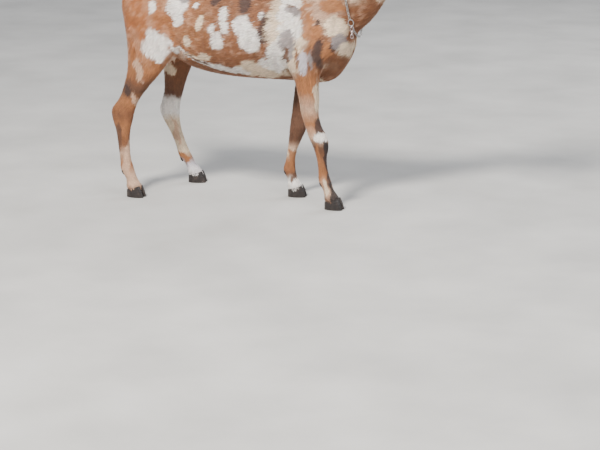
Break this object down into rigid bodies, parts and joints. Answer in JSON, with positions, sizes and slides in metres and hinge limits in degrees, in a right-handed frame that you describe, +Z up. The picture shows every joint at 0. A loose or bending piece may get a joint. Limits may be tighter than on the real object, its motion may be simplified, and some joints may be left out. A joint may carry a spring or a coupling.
{
  "type": "nubian goat",
  "caption": "Life-size still model of a standing Nubian goat doe with pendulous ears, a Roman nose and a chain collar.",
  "frame": {"origin": "on the floor under the middle of the whole goat's box", "axes": "+X forward along the back towards the head, +Y the goat's left, +Z up"},
  "size_m": [1.313, 0.3102, 1.0439],
  "materials": {
    "coat": "short hair, reddish tan with white, cream, grey and dark brown spots",
    "horn": "dark hoof horn, worn",
    "eye": "wet and glossy, amber iris",
    "steel": "worn bright chain"
  },
  "bodies": {
    "root": {"collar_chain": "steel", "collar_ring": "steel", "collar_snap": "steel", "ear_left": "coat", "ear_right": "coat", "eye_left": "eye", "eye_right": "eye", "foreleg_left": "coat", "foreleg_right": "coat", "head": "coat", "hind_leg_left": "coat", "hind_leg_right": "coat", "hoof_foreleg_left_left_claw": "horn", "hoof_foreleg_left_right_claw": "horn", "hoof_foreleg_right_left_claw": "horn", "hoof_foreleg_right_right_claw": "horn", "hoof_hind_leg_left_left_claw": "horn", "hoof_hind_leg_left_right_claw": "horn", "hoof_hind_leg_right_left_claw": "horn", "hoof_hind_leg_right_right_claw": "horn", "neck": "coat", "tail": "coat", "torso": "coat"}
  },
  "joints": []
}
